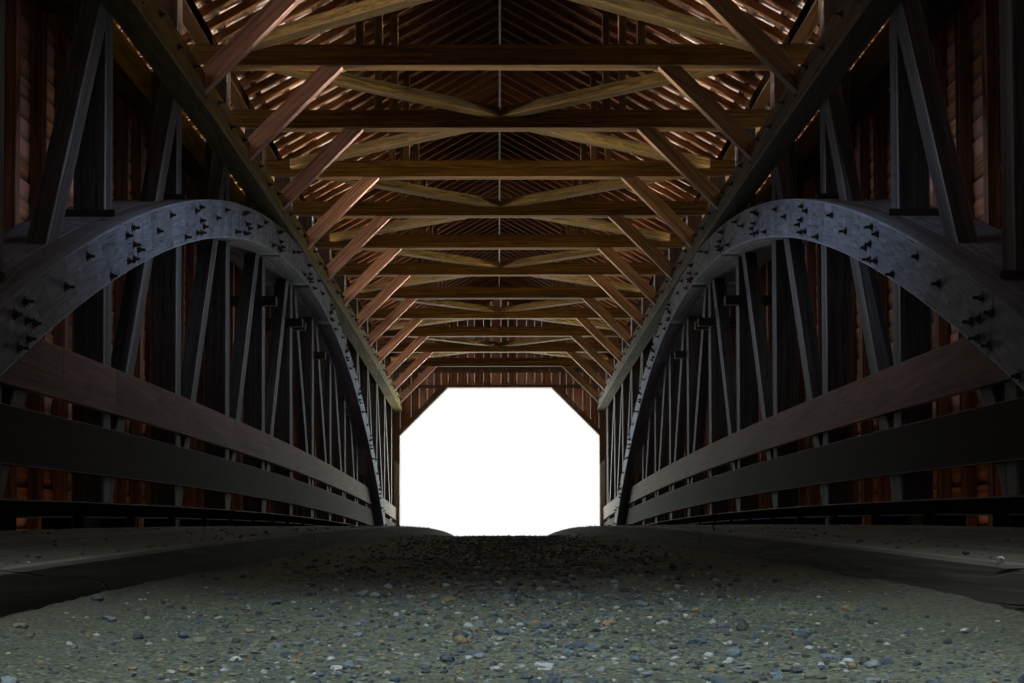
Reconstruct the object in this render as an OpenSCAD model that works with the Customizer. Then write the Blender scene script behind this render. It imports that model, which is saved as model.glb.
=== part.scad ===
// Covered timber bridge with Burr arch trusses, between two stone abutments.
// X runs across the bridge, with east at +X. Y runs along it, with north at +Y.
// The origin is on the ground at the middle of the span.

/* [Span] */
// Number of truss panels between the end posts
panels = 16; // [8:2:18]
// Length of one truss panel
panel_l = 2200; // [1800:50:2300]
// Length of the chords beyond each end post
end_l = 1100; // [800:50:1400]
// Rise of the chords and the floor at midspan
camber = 275; // [0:5:400]
// Height of the roadway above the ground at the portals
road_h = 4000; // [3400:50:6000]

/* [Posts and braces] */
// Clear width between the posts of the two trusses
post_gap = 4900; // [4400:50:5400]
// Thickness of a post across the bridge
post_t = 200; // [160:10:260]
// Width of a post along the bridge
post_w = 180; // [140:10:240]
// Depth of a diagonal brace
brace_d = 170; // [120:5:200]
// Thickness of a diagonal brace across the bridge
brace_t = 120; // [80:5:160]
// Height of the middle of a brace's foot above the roadway
brace_foot = 340; // [250:10:500]
// Drop of the middle of a brace's head below the upper chord's top
brace_head = 200; // [150:10:400]

/* [Chords] */
// Thickness of each chord timber and each arch timber across the bridge
chord_t = 200; // [140:10:240]
// Depth of an upper chord timber
upper_chord_d = 250; // [180:10:300]
// Depth of a lower chord timber
lower_chord_d = 300; // [220:10:360]
// Height of the upper chord's underside above the roadway
upper_chord_h = 3300; // [3200:10:3600]

/* [Arches] */
// Depth of an arch timber
arch_d = 300; // [240:10:360]
// Drop of the arch's upper edge below the roadway at the abutment's face
spring_drop = 1300; // [1200:20:2100]
// Gap between the arch's crown and the upper chord
crown_gap = 25; // [20:5:150]
// Length of the arch's foot inside the abutment
arch_foot = 300; // [150:10:450]
// Depth of the level cut under an arch's foot
foot_cut = 60; // [30:5:100]
// Gap at the butt joints between the arch timbers
joint_gap = 3; // [2:1:8]
// Distance of the butt joints from the middle of the posts, away from midspan
joint_off = 350; // [0:10:600]
// Gap around the fillers between the two arches
filler_gap = 2; // [1:0.5:6]
// Height of the bearing blocks on the arches at the posts
block_d = 30; // [10:5:60]
// Length of a block along the bridge
block_w = 50; // [40:5:120]
// Overhang of a block beyond the post, across the bridge
block_over = 70; // [40:5:100]
// Least height from a block to the upper chord
block_clear = 500; // [400:20:700]
// Number of posts, counted from midspan, with short cross timbers under the arches
cross_posts = 2; // [1:1:3]
// Height from a cross timber to the arches
cross_drop = 415; // [300:5:500]
// Height of a cross timber
cross_d = 95; // [60:5:140]
// Thickness of a cross timber, along the bridge
cross_w = 100; // [60:5:140]
// Overhang of a cross timber beyond the post, across the bridge
cross_over = 150; // [80:5:180]

/* [Floor] */
// Thickness of the floor planks
plank_t = 75; // [40:5:100]
// Gap between the edge of the floor and the inner arch
floor_gap = 50; // [20:5:100]
// Number of stringers under the planks
stringers_n = 5; // [3:1:7]
// Width of a stringer
stringer_w = 150; // [100:10:180]
// Depth of a stringer
stringer_d = 250; // [150:10:300]
// Width of a floor beam along the bridge
floor_beam_w = 200; // [140:10:240]
// Depth of a floor beam
floor_beam_d = 300; // [200:10:350]
// Width of the sunken strip between the wheel runners
strip_w = 1400; // [1000:50:1800]
// Thickness of the wheel runners
runner_t = 100; // [50:5:120]
// Width of a curb timber
curb_w = 150; // [100:10:180]
// Depth of a curb timber
curb_d = 80; // [60:5:110]
// Height of the blocks under the curb timber
curb_block_h = 145; // [110:5:200]
// Length of a block under the curb timber
curb_block_l = 220; // [150:10:350]

/* [Guard rails] */
// Thickness of a guard rail plank
rail_t = 50; // [30:5:60]
// Height of the lower rail's bottom above the roadway
low_rail_h = 405; // [380:5:460]
// Depth of the lower rail
low_rail_d = 290; // [200:10:320]
// Height of the upper rail's bottom above the roadway
high_rail_h = 795; // [770:5:900]
// Depth of the upper rail
high_rail_d = 280; // [180:10:300]

/* [Upper frame] */
// Height of the tie beams' underside above the roadway
tie_h = 4240; // [4200:10:4500]
// Depth of a tie beam
tie_d = 190; // [140:10:240]
// Width of a tie beam along the bridge
tie_w = 180; // [140:10:220]
// Length of a tie beam beyond the outer chord
tie_over = 30; // [10:5:60]
// Depth of a knee brace
knee_d = 145; // [100:5:160]
// Thickness of a knee brace along the bridge
knee_t = 100; // [80:5:140]
// Depth of the notch for a knee brace in the chord
knee_notch = 40; // [20:5:60]
// Height of the knee brace's heel above the chord's underside
knee_heel = 70; // [20:5:100]
// Width of a lateral brace
lateral_w = 150; // [100:10:180]
// Depth of a lateral brace
lateral_d = 100; // [60:5:130]
// Gap between the two lateral braces that meet at midwidth
lateral_gap = 10; // [4:1:30]

/* [Roof] */
// Pitch of the roof in degrees
pitch = 29; // [24:0.5:34]
// Width of a rafter plate
plate_w = 140; // [100:10:160]
// Depth of a rafter plate
plate_d = 130; // [100:10:160]
// Distance of the plate's outer face from the end of a tie beam
plate_inset = 140; // [60:10:180]
// Seat of a rafter on the plate
rafter_seat = 72; // [40:2:90]
// Number of rafters to a panel
rafters_per_panel = 6; // [4:1:7]
// Width of a rafter
rafter_w = 50; // [40:5:75]
// Depth of a rafter
rafter_d = 75; // [60:5:120]
// Thickness of the ridge board
ridge_t = 25; // [20:5:60]
// Drop of the ridge board below the rafters
ridge_drop = 30; // [0:5:60]
// Distance of the eaves from the middle of the bridge
eaves_x = 3350; // [3200:10:3500]
// Overhang of the roof beyond the portals
verge = 300; // [200:10:450]
// Width of a roof lath, measured on plan
lath_w = 47; // [40:1:80]
// Spacing of the roof laths, measured on plan
lath_pitch = 254; // [180:2:300]
// Thickness of a roof lath
lath_t = 25; // [15:5:40]
// Thickness of the shingles
roof_t = 30; // [20:5:50]
// Width of a ridge cap board, measured on plan
cap_w = 180; // [120:10:240]
// Thickness of the ridge cap boards
cap_t = 25; // [15:5:40]
// Width and depth of a queen strut
strut_w = 75; // [50:5:90]
// Distance of the inner queen struts from the middle
strut_x = 1100; // [900:10:1300]
// Spacing of the two queen struts of a pair
strut_step = 170; // [130:10:220]

/* [Walls and portals] */
// Number of wall studs to a panel
studs_per_panel = 4; // [3:1:6]
// Width and thickness of a wall stud
stud_w = 80; // [50:5:100]
// Thickness of the wall boarding
board_t = 25; // [20:5:30]
// Overhang of the boarding below the lower chord
skirt = 25; // [10:5:60]
// Gap from the top of the boarding to the top of the upper chord
board_drop = 30; // [0:5:60]
// Width of the portal opening
portal_w = 4650; // [4400:50:4900]
// Height of the portal opening above the roadway
portal_h = 3885; // [3800:5:4050]
// Length of the sloping corners of the portal opening, on plan
portal_corner = 1120; // [900:10:1300]
// Gap between the portal boarding and the road
portal_gap = 20; // [10:5:50]
// Width of the trim around the portal
trim_w = 140; // [90:10:180]
// Thickness of the trim around the portal
trim_t = 25; // [20:5:40]
// Width and depth of the timbers of the portal frame
frame_w = 140; // [100:10:160]
// Height of the jamb boards above the roadway
jamb_h = 2200; // [1600:20:2600]
// Width of a jamb board
jamb_w = 120; // [80:10:140]
// Thickness of a jamb board
jamb_t = 50; // [30:5:60]

/* [Abutments] */
// Length of the chords that bears over an abutment
seat_l = 2200; // [1900:50:2600]
// Depth of the bed timbers on an abutment
bed_d = 200; // [150:10:260]
// Width of a bed timber along the bridge
bed_w = 260; // [200:10:320]
// Thickness of the wall behind the end of the bridge
back_t = 750; // [500:50:1000]
// Gap between the bridge and the wall behind it
back_gap = 60; // [40:5:100]
// Width of an abutment across the bridge
abutment_w = 6700; // [6500:50:8000]
// Clearance of an arch timber in its pocket
pocket_gap = 15; // [5:5:30]

/* [Hidden] */

// Lengths along the bridge
half_n = panels / 2;
half_l = half_n * panel_l + end_l;
face_y = half_l - seat_l;
portal_y = half_l + rafter_w / 2;
frame_y = half_l - rafter_w / 2 - frame_w;
jamb_x = portal_w / 2;
back_y = half_l + rafter_w / 2 + board_t + trim_t + back_gap;
far = 2 * half_l;

// Lines across the bridge, on the east side
post_x = post_gap / 2;
inner_x = post_x - chord_t;
outer_x = post_x + post_t;
stud_x = outer_x + chord_t;
board_x = stud_x + stud_w;
tie_x = stud_x + tie_over;
plate_x = tie_x - plate_inset;
floor_x = inner_x - floor_gap;
lap_t = chord_t / 2;

// Levels at the portals, before the camber is added
stringer_z = road_h - plank_t - stringer_d;
floor_beam_z = stringer_z - floor_beam_d;
lower_chord_z = floor_beam_z - lower_chord_d;
upper_chord_z = road_h + upper_chord_h;
tie_z = road_h + tie_h;
plate_z = tie_z + tie_d;
seat_z = lower_chord_z - bed_d;

// Arch circle, through the crown and the springings of its upper edge
crown_z = upper_chord_z + camber - crown_gap;
arch_rise = crown_z - road_h + spring_drop;
arch_r = (pow(face_y, 2) + pow(arch_rise, 2)) / (2 * arch_rise);
arch_z = crown_z - arch_r;
arch_mid_r = arch_r - arch_d / 2;
foot_y = face_y + arch_foot;
foot_z = arch_z + sqrt(pow(arch_r - arch_d, 2) - pow(foot_y, 2)) + foot_cut;
function arch_top(y) = arch_z + sqrt(pow(arch_r, 2) - pow(y, 2));

// Roof plane under the rafters
rafter_v = rafter_d / cos(pitch);
lath_v = lath_t / cos(pitch);
roof_v = roof_t / cos(pitch);
under_z = plate_z + plate_d + tan(pitch) * (plate_x - rafter_seat);
verge_y = portal_y + verge;

// Camber of the chords, straight between the panel points
function camber_at(y) = camber * (1 - pow(y / half_l, 2));
panel_ys = [for (i = [-half_n : half_n]) i * panel_l];
bend_ys = concat([-half_l], panel_ys, [half_l]);
camber_line = [for (y = bend_ys) [y, camber_at(y)]];
function lift(y) = lookup(y, camber_line);

// Height of the rafters' underside at a distance from the middle
function roof_z(x) = under_z - tan(pitch) * x;

// Places along the bridge where a long timber between y0 and y1 bends
function bends(y0, y1) = concat([y0], [for (y = bend_ys) if (y > y0 && y < y1) y], [y1]);
function reversed(list) = [for (k = [len(list) - 1 : -1 : 0]) list[k]];

// Outline between two levels that follow the camber
function cambered_outline(z0, z1, y0, y1) = concat(
    [for (y = bends(y0, y1)) [y, z0 + lift(y)]],
    [for (y = reversed(bends(y0, y1))) [y, z1 + lift(y)]]
);

// Extrusion across the bridge of an outline drawn in Y and Z
module across(x, w) {
    translate([x, 0, 0]) rotate([90, 0, 90]) linear_extrude(w) children();
}

// Extrusion along the bridge of an outline drawn in X and Z, centred on y
module along(y, l) {
    translate([0, y + l / 2, 0]) rotate([90, 0, 0]) linear_extrude(l) children();
}

module cambered_bar(x, w, z, h, y0 = -half_l, y1 = half_l) {
    across(x, w) polygon(cambered_outline(z, z + h, y0, y1));
}

module west() {
    mirror([1, 0, 0]) children();
}

module both_sides() {
    children();
    west() children();
}

module north() {
    mirror([0, 1, 0]) children();
}

// Arch

// Ring of the arch circle between two radii, endless
module arch_ring(x, w, r0, r1) {
    translate([x, 0, arch_z]) rotate([0, 90, 0]) difference() {
        cylinder(h = w, r = r1, $fn = 720);
        translate([0, 0, -1]) cylinder(h = w + 2, r = r0, $fn = 720);
    }
}

// Part of the ring between two angles from the crown
module arch_sector(x, w, r0, r1, a0, a1) {
    reach = 1.2 * arch_r;
    intersection() {
        arch_ring(x, w, r0, r1);
        translate([0, 0, arch_z]) across(x - 1, w + 2) polygon([
            [0, 0],
            [reach * sin(a0), reach * cos(a0)],
            [reach * sin(a1), reach * cos(a1)]
        ]);
    }
}

// Room for the arches between their feet, above the level cuts
module between_feet(x, w) {
    translate([x - 1, -foot_y, foot_z]) cube([w + 2, 2 * foot_y, far]);
}

module arch_timbers(x) {
    cut = asin(joint_gap / 2 / arch_mid_r);
    beyond = 1.2 * asin(foot_y / arch_mid_r);
    joints = [
        for (y = panel_ys)
            let (joint_y = y + sign(y) * joint_off)
                if (abs(joint_y) < face_y - panel_l / 4) asin(joint_y / arch_mid_r)
    ];
    ends = concat([-beyond], joints, [beyond]);
    intersection() {
        for (k = [0 : len(ends) - 2])
            arch_sector(x, chord_t, arch_r - arch_d, arch_r, ends[k] + cut, ends[k + 1] - cut);
        between_feet(x, chord_t);
    }
}

// An arch timber is halved where it passes the lower chord
module arch(x, lap_x) {
    difference() {
        arch_timbers(x);
        cambered_bar(lap_x, lap_t + 1, lower_chord_z, lower_chord_d);
    }
}

module inner_arch() {
    arch(inner_x, post_x - lap_t);
}

module outer_arch() {
    arch(outer_x, outer_x - 1);
}

// Faces of the posts that have a block, where the arches pass above the guard rails
block_ys = [
    for (i = [1 : half_n - 1])
        let (y = i * panel_l + post_w / 2, top = arch_top(y))
            if (top > road_h + lift(y) + high_rail_h + high_rail_d
                && top + block_d + block_clear < upper_chord_z + lift(y)) y
];

module arch_blocks_at_end() {
    both_sides() for (y = block_ys)
        across(post_x - block_over, post_t + 2 * block_over) polygon([
            [y, arch_top(y)],
            [y + block_w, arch_top(y + block_w)],
            [y + block_w, arch_top(y) + block_d],
            [y, arch_top(y) + block_d]
        ]);
}

module arch_blocks() {
    color("#2b2724") {
        arch_blocks_at_end();
        north() arch_blocks_at_end();
    }
}

// Short cross timbers on the middle posts, on the faces away from midspan
cross_ys = [for (i = [0 : cross_posts - 1]) i * panel_l + post_w / 2];

module cross_blocks_at_end() {
    both_sides() for (y = cross_ys)
        translate([post_x - cross_over, y, arch_top(y) - arch_d - cross_drop - cross_d])
            cube([post_t + 2 * cross_over, cross_w, cross_d]);
}

module cross_blocks() {
    color("#2b2724") {
        cross_blocks_at_end();
        north() cross_blocks_at_end();
    }
}

// Fillers between the arches, cut where posts and braces pass
module arch_fillers() {
    x = post_x + filler_gap;
    w = post_t - 2 * filler_gap;
    end_y = sqrt(pow(arch_r - arch_d, 2) - pow(road_h + camber - arch_z, 2));
    difference() {
        intersection() {
            arch_ring(x, w, arch_r - arch_d, arch_r);
            translate([x - 1, -end_y, 0]) cube([w + 2, 2 * end_y, far]);
        }
        for (y = panel_ys)
            translate([x - 1, y - post_w / 2 - filler_gap, 0]) cube([w + 2, post_w + 2 * filler_gap, far]);
        for (i = [-half_n : -1]) {
            brace_bar(i * panel_l, filler_gap);
            north() brace_bar(i * panel_l, filler_gap);
        }
    }
}

module west_arch_fillers() {
    color("#5f6366") west() arch_fillers();
}

module east_arch_fillers() {
    color("#5f6366") arch_fillers();
}

module west_inner_arch() {
    color("#6f7478") west() inner_arch();
}

module east_inner_arch() {
    color("#6f7478") inner_arch();
}

module west_outer_arch() {
    color("#676b6e") west() outer_arch();
}

module east_outer_arch() {
    color("#676b6e") outer_arch();
}

// Truss

module lower_chord() {
    difference() {
        cambered_bar(inner_x, chord_t, lower_chord_z, lower_chord_d);
        arch_ring(inner_x - 1, chord_t - lap_t + 1, arch_r - arch_d, arch_r);
    }
    difference() {
        cambered_bar(outer_x, chord_t, lower_chord_z, lower_chord_d);
        arch_ring(outer_x + lap_t, lap_t + 1, arch_r - arch_d, arch_r);
    }
}

module west_lower_chord() {
    color("#5d5248") west() lower_chord();
}

module east_lower_chord() {
    color("#5d5248") lower_chord();
}

module posts() {
    for (y = panel_ys)
        translate([post_x, y - post_w / 2, lower_chord_z + lift(y)])
            cube([post_t, post_w, tie_z - lower_chord_z]);
}

module west_posts() {
    color("#5b6066") west() posts();
}

module east_posts() {
    color("#5b6066") posts();
}

// Middle of a brace's foot and of its head, in the panel that starts at the post at y
function brace_start(y) = [y + post_w / 2, road_h + lift(y) + brace_foot];
function brace_top(y) = [
    y + panel_l - post_w / 2, upper_chord_z + upper_chord_d + lift(y + panel_l) - brace_head
];

// Straight bar on the line of the brace, longer than the brace, with a gap round it
module brace_bar(y, gap = 0) {
    from = brace_start(y);
    step = brace_top(y) - from;
    across(post_x - gap, brace_t + 2 * gap) translate(from) rotate(atan2(step[1], step[0]))
        translate([-brace_d, -brace_d / 2 - gap]) square([norm(step) + 2 * brace_d, brace_d + 2 * gap]);
}

// Brace that rises from the post at y towards the post at y + panel_l
module brace(y) {
    y0 = y + post_w / 2;
    y1 = y + panel_l - post_w / 2;
    low_z = floor_beam_z;
    high_z = upper_chord_z + upper_chord_d;
    intersection() {
        brace_bar(y);
        across(post_x - 1, brace_t + 2) polygon([
            [y0, low_z + lift(y)],
            [y1, low_z + lift(y + panel_l)],
            [y1, high_z + lift(y + panel_l)],
            [y0, high_z + lift(y)]
        ]);
    }
}

module braces() {
    for (i = [-half_n : -1]) {
        brace(i * panel_l);
        north() brace(i * panel_l);
    }
}

module west_braces() {
    color("#646a70") west() braces();
}

module east_braces() {
    color("#646a70") braces();
}

module upper_chord() {
    difference() {
        cambered_bar(inner_x, chord_t, upper_chord_z, upper_chord_d, -frame_y, frame_y);
        for (y = panel_ys)
            translate([inner_x - 1, y - knee_t / 2, upper_chord_z + knee_heel + lift(y)])
                cube([knee_notch + 1, knee_t, upper_chord_d]);
    }
    cambered_bar(outer_x, chord_t, upper_chord_z, upper_chord_d);
}

module west_upper_chord() {
    color("#4f4b48") west() upper_chord();
}

module east_upper_chord() {
    color("#4f4b48") upper_chord();
}

// Floor

// Distances from midspan between which an arch passes the level of the floor beams
arch_in_y = sqrt(pow(arch_r - arch_d, 2) - pow(floor_beam_z + floor_beam_d + camber - arch_z, 2));
arch_out_y = sqrt(pow(arch_r, 2) - pow(floor_beam_z - arch_z, 2));

// Two floor beams to a panel, none where the arches pass
beam_ys = [
    for (i = [-half_n : half_n - 1], part = [0.32, 0.68])
        let (y = (i + part) * panel_l)
            if (abs(y) + floor_beam_w / 2 < arch_in_y || abs(y) - floor_beam_w / 2 > arch_out_y) y
];

module floor_beams() {
    color("#5a4c3e") for (y = beam_ys)
        cambered_bar(-stud_x, 2 * stud_x, floor_beam_z, floor_beam_d,
            y - floor_beam_w / 2, y + floor_beam_w / 2);
}

module stringers() {
    step = (2 * floor_x - stringer_w) / (stringers_n - 1);
    color("#655443") for (k = [0 : stringers_n - 1])
        cambered_bar(-floor_x + k * step, stringer_w, stringer_z, stringer_d);
}

module deck() {
    color("#4d4a47") cambered_bar(-floor_x, 2 * floor_x, road_h - plank_t, plank_t);
}

module runners() {
    color("#3f3a37") both_sides()
        cambered_bar(strip_w / 2, floor_x - curb_w - strip_w / 2 - 20, road_h, runner_t);
}

module curb() {
    cambered_bar(floor_x - curb_w, curb_w, road_h + curb_block_h, curb_d);
    for (k = [-panels : panels])
        let (y = k * panel_l / 2)
            cambered_bar(floor_x - curb_w, curb_w, road_h, curb_block_h + curb_d / 2,
                y - curb_block_l / 2, y + curb_block_l / 2);
}

module curbs() {
    color("#4a3b35") both_sides() curb();
}

module lateral_bar(slope, w) {
    rotate(slope) translate([-far / 2, -w / 2, 0]) cube([far, w, far]);
}

// Crossed braces under the floor, one of each pair in two halves
module lower_laterals() {
    bay = 2 * panel_l;
    slope = atan2(bay, 2 * inner_x);
    color("#5a4c3e") intersection() {
        cambered_bar(-inner_x, 2 * inner_x, floor_beam_z - lateral_d, lateral_d);
        for (i = [-half_n : 2 : half_n - 2])
            translate([0, (i + 1) * panel_l, lower_chord_z]) intersection() {
                translate([-inner_x, lateral_gap / 2 - panel_l, 0])
                    cube([2 * inner_x, bay - lateral_gap, far]);
                union() {
                    lateral_bar(slope, lateral_w);
                    difference() {
                        lateral_bar(-slope, lateral_w);
                        lateral_bar(slope, lateral_w + 2 * lateral_gap);
                    }
                }
            }
    }
}

// Guard rails

module guard_rail(h, d) {
    end_y = frame_y - jamb_t;
    difference() {
        cambered_bar(post_x - rail_t, rail_t, road_h + h, d, -end_y, end_y);
        arch_ring(inner_x - 1, chord_t + 2, arch_r - arch_d - joint_gap, arch_r + joint_gap);
    }
}

module guard_rails() {
    guard_rail(low_rail_h, low_rail_d);
    guard_rail(high_rail_h, high_rail_d);
}

module west_guard_rails() {
    color("#5e4646") west() guard_rails();
}

module east_guard_rails() {
    color("#5e4646") guard_rails();
}

// Upper frame

module tie_beams() {
    color("#7d5d33") for (y = panel_ys)
        translate([-tie_x, y - tie_w / 2, tie_z + lift(y)]) cube([2 * tie_x, tie_w, tie_d]);
}

// Knee brace at 45 degrees, from the notch in the chord to the tie beam
module knee_brace(y) {
    v = knee_d * sqrt(2);
    heel_x = inner_x + knee_notch;
    heel_z = upper_chord_z + knee_heel;
    translate([0, 0, lift(y)]) along(y, knee_t) polygon([
        [heel_x, heel_z],
        [heel_x, heel_z + v],
        [heel_x - (tie_z - heel_z - v), tie_z],
        [heel_x - (tie_z - heel_z), tie_z]
    ]);
}

module knee_braces() {
    for (y = panel_ys) knee_brace(y);
}

module west_knee_braces() {
    color("#8f6f62") west() knee_braces();
}

module east_knee_braces() {
    color("#8f6f62") knee_braces();
}

// Lateral braces from the wall at every second tie beam to the middle of the next one
module lateral(y, dir) {
    reach = panel_l - tie_w;
    start = [post_x, y + dir * tie_w / 2];
    slope = atan2(dir * reach, -post_x);
    intersection() {
        translate([start[0], start[1], plate_z - lateral_d]) rotate(slope)
            translate([-far / 2, -lateral_w / 2, 0]) cube([far, lateral_w, 2 * lateral_d + camber]);
        translate([lateral_gap / 2, min(y, y + dir * panel_l) + tie_w / 2, 0])
            cube([post_x - lateral_gap / 2, reach, far]);
    }
}

module upper_laterals() {
    color("#a9793a") intersection() {
        cambered_bar(-post_x, 2 * post_x, plate_z - lateral_d, lateral_d);
        both_sides() for (i = [-half_n : half_n]) if (i % 2 == 0) {
            if (i < half_n) lateral(i * panel_l, 1);
            if (i > -half_n) lateral(i * panel_l, -1);
        }
    }
}

// Roof

module queen_strut(x, y) {
    along(y, strut_w) polygon([
        [x - strut_w / 2, plate_z + lift(y)],
        [x + strut_w / 2, plate_z + lift(y)],
        [x + strut_w / 2, roof_z(x + strut_w / 2) + lift(y)],
        [x - strut_w / 2, roof_z(x - strut_w / 2) + lift(y)]
    ]);
}

module queen_struts() {
    color("#7d5d33") both_sides() for (y = panel_ys) {
        queen_strut(strut_x, y);
        queen_strut(strut_x + strut_step, y);
    }
}

module rafter_plates() {
    color("#6d5430") both_sides()
        cambered_bar(plate_x - plate_w, plate_w, plate_z, plate_d, -portal_y, portal_y);
}

module ridge_board() {
    color("#c8a878") cambered_bar(-ridge_t / 2, ridge_t,
        roof_z(ridge_t / 2) - ridge_drop, rafter_v + ridge_drop, -portal_y, portal_y);
}

// Rafters evenly spaced in the panels, and again beyond the end posts
rafter_n = half_n * rafters_per_panel;
end_rafter_n = max(1, round(end_l * rafters_per_panel / panel_l));
end_rafter_ys = [for (k = [1 : end_rafter_n]) half_n * panel_l + k * end_l / end_rafter_n];
rafter_ys = concat(
    [for (k = [-rafter_n : rafter_n]) k * panel_l / rafters_per_panel],
    end_rafter_ys,
    [for (y = end_rafter_ys) -y]
);

// Rafter with a plumb cut at the ridge board and a notch over the plate
module rafter(y) {
    top_x = ridge_t / 2;
    seat_x = plate_x - rafter_seat;
    translate([0, 0, lift(y)]) along(y, rafter_w) polygon([
        [top_x, roof_z(top_x)],
        [seat_x, roof_z(seat_x)],
        [plate_x, roof_z(seat_x)],
        [plate_x, roof_z(plate_x)],
        [eaves_x, roof_z(eaves_x)],
        [eaves_x, roof_z(eaves_x) + rafter_v],
        [top_x, roof_z(top_x) + rafter_v]
    ]);
}

module rafters() {
    for (y = rafter_ys) rafter(y);
}

module west_rafters() {
    color("#8a5a33") west() rafters();
}

module east_rafters() {
    color("#8a5a33") rafters();
}

// Layer on the rafters, between two heights above their underside
module roof_layer(v0, v1, x0, x1) {
    intersection() {
        translate([0, 0, under_z]) rotate([0, pitch, 0]) across(-far, 2 * far) polygon(concat(
            [for (y = bends(-verge_y, verge_y)) [y, (v0 + lift(y)) * cos(pitch)]],
            [for (y = reversed(bends(-verge_y, verge_y))) [y, (v1 + lift(y)) * cos(pitch)]]
        ));
        translate([x0, -far, 0]) cube([x1 - x0, 2 * far, far]);
    }
}

lath_n = floor((eaves_x - ridge_t / 2 - lath_w) / lath_pitch);

module laths() {
    intersection() {
        roof_layer(rafter_v, rafter_v + lath_v, 0, eaves_x);
        for (k = [0 : lath_n])
            translate([eaves_x - lath_w - k * lath_pitch, -far, 0]) cube([lath_w, 2 * far, far]);
    }
}

module west_laths() {
    color("#9a6a3c") west() laths();
}

module east_laths() {
    color("#9a6a3c") laths();
}

module roof() {
    v = rafter_v + lath_v;
    roof_layer(v, v + roof_v, joint_gap, eaves_x + lath_w);
}

module west_roof() {
    color("#6b5a4c") west() roof();
}

module east_roof() {
    color("#6b5a4c") roof();
}

module ridge_cap() {
    v = rafter_v + lath_v + roof_v;
    color("#5d4f44") both_sides() roof_layer(v, v + cap_t / cos(pitch), 0, cap_w);
}

// Walls

stud_step = panel_l / studs_per_panel;
stud_n = floor((half_l - stud_w) / stud_step);

module studs() {
    h = upper_chord_z + upper_chord_d - board_drop - (lower_chord_z - skirt);
    for (k = [-stud_n : stud_n])
        translate([stud_x, k * stud_step - stud_w / 2, lower_chord_z - skirt + lift(k * stud_step)])
            cube([stud_w, stud_w, h]);
}

module west_studs() {
    color("#6e4630") west() studs();
}

module east_studs() {
    color("#6e4630") studs();
}

module siding() {
    h = upper_chord_z + upper_chord_d - board_drop - (lower_chord_z - skirt);
    cambered_bar(board_x, board_t, lower_chord_z - skirt, h, -portal_y, portal_y);
}

module west_siding() {
    color("#8a3b2c") west() siding();
}

module east_siding() {
    color("#8a3b2c") siding();
}

// Portals

module portal_opening(grow = 0, low = 0) {
    w = portal_w / 2 + grow;
    h = road_h + portal_h + grow;
    c = portal_corner + grow * (2 - sqrt(2));
    polygon([
        [-w, road_h - low], [w, road_h - low], [w, h - c], [w - c, h], [-(w - c), h], [-w, h - c]
    ]);
}

module gable_outline(x) {
    top = roof_z(0) + rafter_v;
    polygon([
        [-x, road_h + portal_gap], [x, road_h + portal_gap],
        [x, roof_z(x) + rafter_v], [0, top], [-x, roof_z(x) + rafter_v]
    ]);
}

module portal_boards() {
    along(portal_y + board_t / 2, board_t) difference() {
        gable_outline(board_x + board_t);
        portal_opening(0, 1);
    }
}

module portal_trim() {
    along(portal_y + board_t + trim_t / 2, trim_t) difference() {
        intersection() {
            portal_opening(trim_w, 0);
            gable_outline(board_x + board_t);
        }
        portal_opening(0, 1);
    }
}

module portal_frame() {
    head_z = road_h + portal_h;
    both_sides() translate([jamb_x, frame_y, floor_beam_z + lift(frame_y)])
        cube([frame_w, frame_w, tie_z - floor_beam_z]);
    translate([-tie_x, frame_y, tie_z + lift(frame_y)]) cube([2 * tie_x, frame_w, tie_d]);
    translate([-jamb_x - frame_w, frame_y, head_z])
        cube([2 * (jamb_x + frame_w), frame_w, frame_w / 2]);
    both_sides() along(frame_y + frame_w / 2, frame_w) polygon([
        [jamb_x, head_z - portal_corner],
        [jamb_x + frame_w / 2, head_z - portal_corner + frame_w / 2],
        [jamb_x - portal_corner + frame_w, head_z + frame_w / 2],
        [jamb_x - portal_corner, head_z]
    ]);
}

// Upright boards at the jambs, where the guard rails end, with sloping tops
module jamb_boards_at_end() {
    both_sides() along(frame_y - jamb_t / 2, jamb_t) polygon([
        [jamb_x, floor_beam_z + lift(frame_y)],
        [jamb_x + jamb_w, floor_beam_z + lift(frame_y)],
        [jamb_x + jamb_w, road_h + jamb_h],
        [jamb_x, road_h + jamb_h - jamb_w]
    ]);
}

module jamb_boards() {
    color("#b9b2a4") {
        jamb_boards_at_end();
        north() jamb_boards_at_end();
    }
}

module south_portal_frame() {
    color("#4b423c") north() portal_frame();
}

module north_portal_frame() {
    color("#4b423c") portal_frame();
}

module south_portal_boards() {
    color("#8a3b2c") north() portal_boards();
}

module north_portal_boards() {
    color("#8a3b2c") portal_boards();
}

module south_portal_trim() {
    color("#d8d6cc") north() portal_trim();
}

module north_portal_trim() {
    color("#d8d6cc") portal_trim();
}

// Abutments

bed_ys = [face_y + bed_w, half_l - bed_w];

module bed_timbers() {
    module at_one_end() {
        for (y = bed_ys)
            across(-stud_x, 2 * stud_x) polygon([
                [y - bed_w / 2, seat_z],
                [y + bed_w / 2, seat_z],
                for (b = reversed(bends(y - bed_w / 2, y + bed_w / 2))) [b, lower_chord_z + lift(b)]
            ]);
    }
    color("#4b423c") {
        at_one_end();
        north() at_one_end();
    }
}

module abutment() {
    w = abutment_w;
    pocket_x = inner_x - pocket_gap;
    pocket_w = stud_x - inner_x + 2 * pocket_gap;
    difference() {
        across(-w / 2, w) polygon([
            [face_y, 0], [back_y + back_t, 0], [back_y + back_t, road_h],
            [back_y, road_h], [back_y, seat_z], [face_y, seat_z]
        ]);
        both_sides() intersection() {
            arch_ring(pocket_x, pocket_w, arch_r - arch_d - pocket_gap, arch_r + pocket_gap);
            between_feet(pocket_x, pocket_w);
        }
    }
}

module south_abutment() {
    color("#8f8a80") north() abutment();
}

module north_abutment() {
    color("#8f8a80") abutment();
}

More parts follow.
